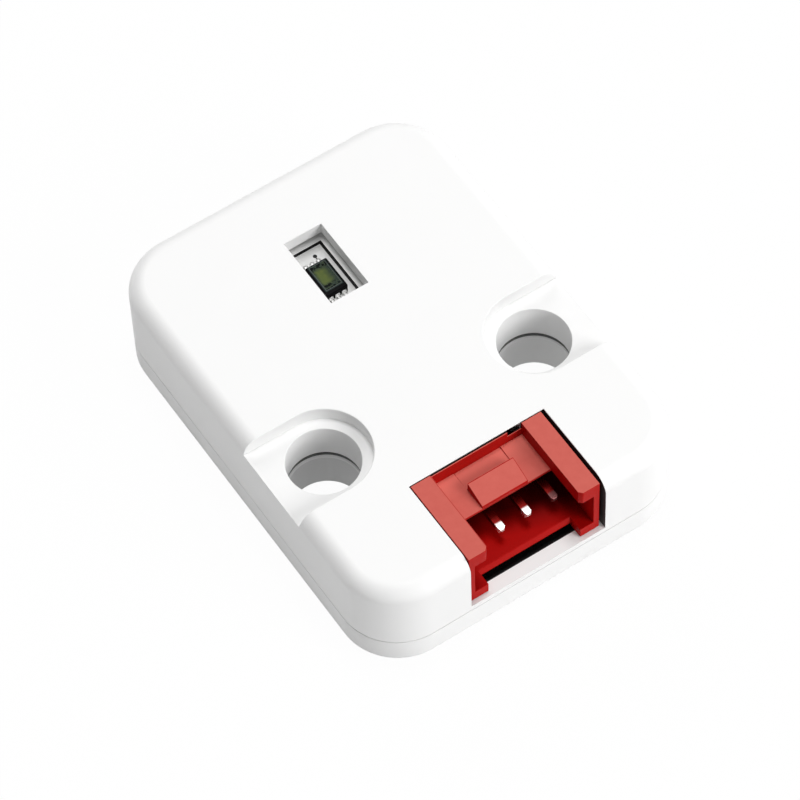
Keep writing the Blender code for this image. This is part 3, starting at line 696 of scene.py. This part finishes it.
pins = {
    "z": 4.9 * mm, "half": 0.25 * mm, "tip": -13.52 * mm, "bend": -9.0 * mm, "rise": (0.58 * mm, 0.8 * mm),
    "tail": 1.42 * mm, "pitch": 2.0 * mm, "taper": 0.13 * mm, "edge": 0.03 * mm, "holeHalf": 0.29 * mm,
    # the shaft colour is a painted reflection of the red cavity, and the last pin's tip colour a painted shade
    "tin": (0.9, 0.89, 0.87), "shaftReflection": (0.22, 0.012, 0.01), "shadedTip": (0.12, 0.02, 0.02),
    "shaftRun": (-13.1 * mm, -12.95 * mm), "shadedTipX": (2.5 * mm, 3.5 * mm), "tipShade": 0.95,
}
anchors = {
    "x": (4.71 * mm, 6.21 * mm), "y": (-13.3 * mm, -11.7 * mm), "z": (5.43 * mm, 5.68 * mm),
    "clear": 0.04 * mm, "edge": 0.05 * mm, "tin": (0.16, 0.16, 0.16),
}


def span(edge, reach):
    # from before an edge to past it
    return edge + reach[0], edge + reach[1]


def makeSocketRed():
    # deep red, with a painted sheen, a paler tone on the faces that look up out of the case; painted shade deep
    # in the cavity and in thin lines, and painted light on the faces that look forward and near the back of the
    # roof
    g = Look("socketRed", red["deep"], red["rough"], specular=0.04)
    x, y, z = g.splitXYZ()
    normalY, normalZ = g.splitXYZ("Normal")[1:]
    high = g.ramp(z, *red["sheenZ"])
    # painted sheen: a paler tone on the faces that look up, above the cavity
    paintedSheen = g.ramp(normalZ, *red["facingUp"]) * high
    cloud, grain = g.noise(red["cloud"], 3.0), g.noise(red["grain"], 2.0)
    deep = g.mix(cloud, red["deep"], red["deepMottle"])
    # painted shade: darker towards the back of the cavity, below the roof
    deep = g.mix(g.ramp(y + red["innerSlant"] * x, *red["innerRun"]) * (1 - high), deep, red["inner"])
    # painted light: the faces that look forward are a little lighter
    deep = g.mix(g.ramp(normalY, *red["facingFront"]), deep, red["faces"])
    # painted sheen tone, with painted light near the back of the roof where it lies in shade
    sheenTone = g.mix(g.noise(red["sheenCloud"], 4.0, 0.6), red["sheenTone"], red["sheenMottle"])
    sheenTone = g.mix(g.ramp(y, *red["backRun"]) * z.op("LESS_THAN", red["backTop"]), sheenTone, red["sheenBackLight"])
    right, back = socket["tabX"], socket["tabY"][1]
    # painted shade lines at the tab's back and right edges and the left rail's inner edge
    shadeLines = g.most(
        g.inside((x, y, z), ((-right, right), span(back, red["backLine"]), red["backLineZ"])),
        g.inside((x, y, z), (span(right, red["rightLine"]), (socket["roofFront"], back), red["rightLineZ"])),
        red["railShade"] * g.inside((x,), [span(-socket["railInner"], red["railLine"])]))
    g.feed("Base Color", g.mix(paintedSheen * (1 - red["lineShade"] * shadeLines), deep, sheenTone))
    g.feed("Roughness", red["rough"] + 0.15 * paintedSheen + 0.12 * (grain - 0.5))
    g.bump(grain, red["grainDepth"])
    return g.owner


def makeSocketHousing():
    s = socket
    before, past = -16.5 * mm, -8.5 * mm  # ahead of the housing and behind it
    housing = addBlock("socketHousing", (-s["x"], s["front"], s["base"]), (s["x"], s["back"], s["top"]))
    cuts = [
        ((-s["railInner"], before, s["roof"]), (s["railInner"], s["lipFront"], above)),
        ((-s["cavityX"], before, s["floor"]), (s["cavityX"], s["cavityBack"], s["roofUnder"])),
        ((-s["cavityX"], before, s["floor"]), (s["cavityX"], s["roofFront"], s["roof"])),
        ((-s["railInner"], before, s["floor"]), (s["railInner"], s["roofFront"], above)),
        ((-s["footInner"], before, 0), (s["footInner"], past, s["footTop"])),
        ((-s["footInner"], before, 0), (s["footInner"], s["floorFront"], above / 2)),
        ((-s["railInner"], s["roofFront"], s["lipTop"]), (s["railInner"], past, above)),
        ((s["notchX"], s["roofFront"], s["notchLow"]), (s["railInner"], past, above)),
        ((-s["tabX"], s["tabY"][1], s["groove"]), (s["tabX"], s["lipFront"], above)),
    ]
    for low, high in cuts:
        cutAway(housing, addBlock("cut", low, high))
    # the roof's underside slopes up to a thin front edge
    edge = s["roof"] - s["roofEdge"]
    slope = edge - s["roofUnder"]
    under = addBlock("under", (-s["cavityX"], before, s["floor"]), (s["cavityX"], s["roofFront"] + slope, edge))
    bevelEdges(under, lambda e: levelAt(e, edge) and middle(e).y > s["roofFront"], slope * 0.999, 1)
    cutAway(housing, under)
    # the sloped lead on the floor's front edge
    lead = addBlock("lead", (-s["footInner"], before, s["floor"] - s["lead"]),
                    (s["footInner"], s["floorFront"] + s["lead"], above / 2))
    bevelEdges(lead, lambda e: levelAt(e, s["floor"] - s["lead"]) and middle(e).y > s["floorFront"],
               s["lead"], 1)
    cutAway(housing, lead)
    # the key tab, lower at its front
    tab = addBlock("tab", (-s["tabX"], s["tabY"][0], s["roof"] - s["tabRoot"]),
                   (s["tabX"], s["tabY"][1], s["tabHigh"]))
    choose(tab, "verts", lambda v: v.co.z > s["tabHigh"] - tiny and v.co.y < s["tabY"][0] + tiny)
    bpy.ops.transform.translate(value=(0, 0, s["tabLow"] - s["tabHigh"]))
    joinOn(housing, tab)
    bevelEdges(housing, lambda e: upright(e) and abs(middle(e).y - s["front"]) < tiny
               and abs(abs(middle(e).x) - s["railInner"]) < tiny, s["railChamfer"], 1)
    bevelSharp(housing, s["round"], 2)
    # what stays sharp: the pin holes, the slots for the anchors, and thin lines round the tab
    for step in range(4):
        centre, half = (step - 1.5) * pins["pitch"], pins["holeHalf"]
        cutAway(housing, addBlock("pinHole", (centre - half, s["pinHoleFront"], pins["z"] - half),
                                  (centre + half, past, pins["z"] + half)))
    clear = anchors["clear"]
    for hand in (-1, 1):
        run = sorted((hand * (anchors["x"][0] - clear), hand * s["anchorDepth"]))
        cutAway(housing, addBlock("anchorSlot", (run[0], anchors["y"][0] - clear, anchors["z"][0] - clear),
                                  (run[1], anchors["y"][1] + clear, anchors["z"][1] + clear)))
    back, (thin, wide) = s["tabY"][1], s["slitWidth"]
    cutAway(housing, addBlock("slit", (-s["tabX"], back, s["slit"]), (s["tabX"] + thin, back + wide, above)),
            addBlock("slit", (s["tabX"], s["roofFront"] + s["slitFront"], s["slit"]),
                     (s["tabX"] + thin, back + s["slitOverlap"], above)))
    smooth(housing)
    finishPiece(housing, socketRed, "socket_plastic", "socket_housing")


def makePinTin():
    # bright tips; the shafts carry a painted reflection of the red cavity, and the last pin in view has painted
    # shade on its tip
    g = Look("pinTin", pins["tin"], 0.2, 1.0)
    x, y = g.splitXYZ()[:2]
    # painted reflection of the red cavity on the shafts
    shaftReflection = g.ramp(y, *pins["shaftRun"])
    # painted shade on the last pin's tip
    tone = g.mix(pins["tipShade"] * g.inside((x,), [pins["shadedTipX"]]), pins["tin"], pins["shadedTip"])
    g.feed("Base Color", g.mix(shaftReflection, tone, pins["shaftReflection"]))
    g.feed("Roughness", 0.42 - 0.1 * shaftReflection)
    return g.owner


def makePins():
    # one square pin with a tapered tip, stepped up onto the board, then copied along
    half = pins["half"]
    pin = addBlock("pin", (-half, pins["tip"], pins["z"] - half), (half, pins["bend"], pins["z"] + half))
    reach = pins["bend"]
    for shift in (pins["rise"], (pins["tail"], 0)):
        extrudeFrom(pin, lambda f: looksAlongY(f, 1, reach), (0, *shift))
        reach += shift[0]
    bevelEdges(pin, lambda e: abs(middle(e).y - pins["tip"]) < tiny, pins["taper"], 1)
    bevelSharp(pin, pins["edge"], 2, lambda e: abs(direction(e).x) < 0.5, 60)
    smooth(pin)
    for step in range(4):
        finishPiece(copyTo(pin, f"socketPin{step + 1}", ((step - 1.5) * pins["pitch"], 0, 0)), pinTin,
                    "pin_metal", f"socket_pin_{step + 1}")
    bpy.data.objects.remove(pin, do_unlink=True)


def makeAnchors():
    (front, back), (low, high) = anchors["y"], anchors["z"]
    for hand, name in ((-1, "Left"), (1, "Right")):
        run = sorted(hand * reach for reach in anchors["x"])
        anchor = addBlock(f"socketAnchor{name}", (run[0], front, low), (run[1], back, high))
        bevelSharp(anchor, anchors["edge"], 3)
        smooth(anchor)
        finishPiece(anchor, anchorTin, "solder_metal", f"socket_anchor_{name.lower()}")


socketRed = makeSocketRed()
pinTin = makePinTin()
anchorTin = makeMetal("anchorTin", anchors["tin"], 0.5)
makeSocketHousing()
makePins()
makeAnchors()
print("socket made")


# the small parts on the board, and the cover's screw

chips = {
    "half": (0.8 * mm, 0.4 * mm), "band": 0.3 * mm, "proud": 0.02 * mm, "low": 5.43 * mm, "edge": 0.04 * mm,
    "capacitor": {"height": 0.8 * mm, "colour": (0.5, 0.36, 0.2), "slot": "capacitor_tan"},
    "resistor": {"height": 0.45 * mm, "colour": (0.015, 0.015, 0.017), "slot": "package_black"},
    "tin": (0.85, 0.85, 0.84), "cloud": 0.2 * mm,
    "places": [
        ("inputCapacitor", "input_capacitor", "capacitor", (-6.2 * mm, 6.4 * mm)),
        ("outputCapacitor", "output_capacitor", "capacitor", (-6.2 * mm, 8.6 * mm)),
        ("sensorCapacitor", "sensor_capacitor", "capacitor", (4.6 * mm, 8.05 * mm)),
        ("dataPullUp", "data_pull_up", "resistor", (-1.6 * mm, 1.8 * mm)),
        ("clockPullUp", "clock_pull_up", "resistor", (1.6 * mm, 1.8 * mm)),
        ("addressResistor", "address_resistor", "resistor", (4.6 * mm, 5.25 * mm)),
    ],
}
regulator = {
    "x": -6.2 * mm, "y": 3.2 * mm, "half": (1.45 * mm, 0.65 * mm), "low": 5.55 * mm, "top": 6.55 * mm,
    "edge": 0.08 * mm, "leadEdge": 0.02 * mm,
    "leads": ((-0.95 * mm, -1), (0.95 * mm, -1), (0, 1)),  # place along x, and which side of the body
    "leadHalf": 0.2 * mm, "leadZ": (5.93 * mm, 6.05 * mm), "leadOut": (0.02 * mm, 0.15 * mm),
    "leadDown": (0.14 * mm, -0.5 * mm), "leadFoot": 0.26 * mm,
}


def makeChipLook(name, colour):
    # a coloured middle and tinned ends, told apart by how far along the chip a point lies
    g = Look(name, colour, 0.45)
    x = g.splitXYZ()[0]
    half = chips["half"][0] - chips["band"]
    coloured = g.most(*(abs(x - centre).op("LESS_THAN", half)
                        for centre in sorted({place[0] for *names, place in chips["places"]})))
    tone = g.mix(g.noise(chips["cloud"], 2.0), colour, tuple(part * 0.8 for part in colour))
    g.feed("Base Color", g.mix(coloured, chips["tin"], tone))
    g.feed("Metallic", 1 - coloured)
    g.feed("Roughness", 0.28 + 0.2 * coloured)
    return g.owner


def makeChips():
    looks = {"capacitor": makeChipLook("capacitorTan", chips["capacitor"]["colour"]),
             "resistor": makeChipLook("resistorBlack", chips["resistor"]["colour"])}
    (halfX, halfY), band, proud = chips["half"], chips["band"], chips["proud"]
    low = chips["low"] + proud
    for name, node, kind, (x, y) in chips["places"]:
        top = low + chips[kind]["height"]
        chip = addBlock(name, (x - halfX + band, y - halfY, low), (x + halfX - band, y + halfY, top))
        for end in (-1, 1):
            run = sorted((x + end * (halfX - band), x + end * halfX))
            cap = addBlock("cap", (run[0], y - halfY - proud, low - proud),
                           (run[1], y + halfY + proud, top + proud))
            joinOn(chip, bevelSharp(cap, chips["edge"], 3))
        smooth(chip)
        finishPiece(chip, looks[kind], chips[kind]["slot"], node)


def makeRegulator():
    x, y, (halfX, halfY) = regulator["x"], regulator["y"], regulator["half"]
    body = addBlock("regulatorBody", (x - halfX, y - halfY, regulator["low"]),
                    (x + halfX, y + halfY, regulator["top"]))
    bevelSharp(body, regulator["edge"], 3)
    smooth(body)
    finishPiece(body, packageBlack, "package_black", "regulator_body")
    half, (low, high) = regulator["leadHalf"], regulator["leadZ"]
    down, drop = regulator["leadDown"]
    for number, (shift, end) in enumerate(regulator["leads"], 1):
        # out of the body, down to the board, and along it
        run = sorted(y + end * (halfY + reach) for reach in regulator["leadOut"])
        lead = addBlock(f"regulatorLead{number}", (x + shift - half, run[0], low),
                        (x + shift + half, run[1], high))
        tip = run[0] if end < 0 else run[1]
        for move in ((0, end * down, drop), (0, end * regulator["leadFoot"], 0)):
            extrudeFrom(lead, lambda f: looksAlongY(f, end, tip), move)
            tip += move[1]
        smooth(bevelSharp(lead, regulator["leadEdge"], 2, angle=60))
        finishPiece(lead, solderTin, "solder_metal", f"regulator_lead_{number}")


def makeScrew():
    centre, low, tip = (0, screw["y"]), screw["headLow"], screw["tip"]
    body = addRod("coverScrew", centre, screw["head"], low, screw["seat"] - screw["clear"], sides=64)
    bevelEdges(body, lambda e: levelAt(e, low), screw["round"], 3)
    shank = addRod("shank", centre, screw["shank"], screw["seat"] - screw["root"], tip, sides=64)
    bevelEdges(shank, lambda e: levelAt(e, tip), screw["round"], 2)
    joinOn(body, shank)
    cutAway(body, addRod("key", centre, screw["key"] / math.sqrt(3), 0, low + screw["keyDepth"], sides=6))
    bevelSharp(body, screw["keyEdge"], 2, lambda e: levelAt(e, low), 60)
    smooth(body)
    finishPiece(body, screwBlack, "screw_steel", "cover_screw")


screwBlack = makeMetal("screwBlack", screw["black"], 0.38)
makeChips()
makeRegulator()
makeScrew()
print("small parts made")


# camera, floor and light

view = {
    "azimuth": -31.452, "elevation": 57.054, "roll": -2.612, "distance": 294.624 * mm,
    "target": (-0.602 * mm, -1.313 * mm, 4.0 * mm), "lens": 207.641,
}
stage = {"floorSize": 3.0, "floorDrop": 0.02 * mm, "floorGrey": 0.88, "ambient": 0.25, "paper": 0.97}
lamps = {
    "overhead": {"place": (0.07, 0.06, 0.79), "size": 0.28, "power": 2.7},
    "back": {"place": (0.16, 0.66, 0.42), "size": 0.4, "power": 1.6},
    "front": {"place": (0.36, -0.6, 0.385), "size": 0.46, "power": 4.0},
}


def makeCamera():
    turn, lift, tilt = (math.radians(view[key]) for key in ("azimuth", "elevation", "roll"))
    back = Vector((math.sin(turn) * math.cos(lift), -math.cos(turn) * math.cos(lift), math.sin(lift)))
    across = Vector((0, 0, 1)).cross(back).normalized()
    upward = back.cross(across)
    right = math.cos(tilt) * across + math.sin(tilt) * upward
    up = -math.sin(tilt) * across + math.cos(tilt) * upward
    eye = bpy.data.cameras.new("camera")
    eye.sensor_width, eye.lens = 36, view["lens"]
    eye.clip_start, eye.clip_end = 0.01, 20
    camera = bpy.data.objects.new("camera", eye)
    bpy.context.scene.collection.objects.link(camera)
    turned = Matrix((right, up, back)).transposed().to_4x4()
    camera.matrix_world = Matrix.Translation(Vector(view["target"]) + back * view["distance"]) @ turned
    bpy.context.scene.camera = camera


def makeFloor():
    # matt paper that keeps the shadow, and looks white to the camera
    rest()
    bpy.ops.mesh.primitive_plane_add(size=stage["floorSize"], location=(0, 0, -stage["floorDrop"]))
    floor = bpy.context.object
    floor.name = "floor"
    g = Graph(bpy.data.materials.new("paper"))
    g.nodes.remove(g.nodes["Principled BSDF"])
    matt = g.node("ShaderNodeBsdfDiffuse", {}, {"Color": (stage["floorGrey"],) * 3})
    glow = g.node("ShaderNodeEmission")
    mix = g.node("ShaderNodeMixShader", {}, {0: stage["paper"] * g.seenDirectly(), 1: matt, 2: glow})
    g.links.new(mix.socket, g.nodes["Material Output"].inputs["Surface"])
    floor.data.materials.append(g.owner)


def makeSky():
    world = bpy.data.worlds.new("sky")
    bpy.context.scene.world = world
    g = Graph(world)
    seen = g.nodes["Background"]
    seen.inputs["Color"].default_value = (1, 1, 1, 1)
    strength = stage["ambient"] + (1 - stage["ambient"]) * g.seenDirectly()
    g.links.new(strength.socket, seen.inputs["Strength"])


def makeLamps():
    for name, lamp in lamps.items():
        light = bpy.data.lights.new(name, "AREA")
        light.shape, light.size, light.energy = "DISK", lamp["size"], lamp["power"]
        holder = bpy.data.objects.new(name, light)
        bpy.context.scene.collection.objects.link(holder)
        place = Vector(lamp["place"])
        holder.matrix_world = Matrix.Translation(place) @ place.to_track_quat("Z", "Y").to_matrix().to_4x4()


makeCamera()
makeFloor()
makeSky()
makeLamps()
bpy.context.scene.view_settings.view_transform = "Standard"
print("camera, floor and light set")
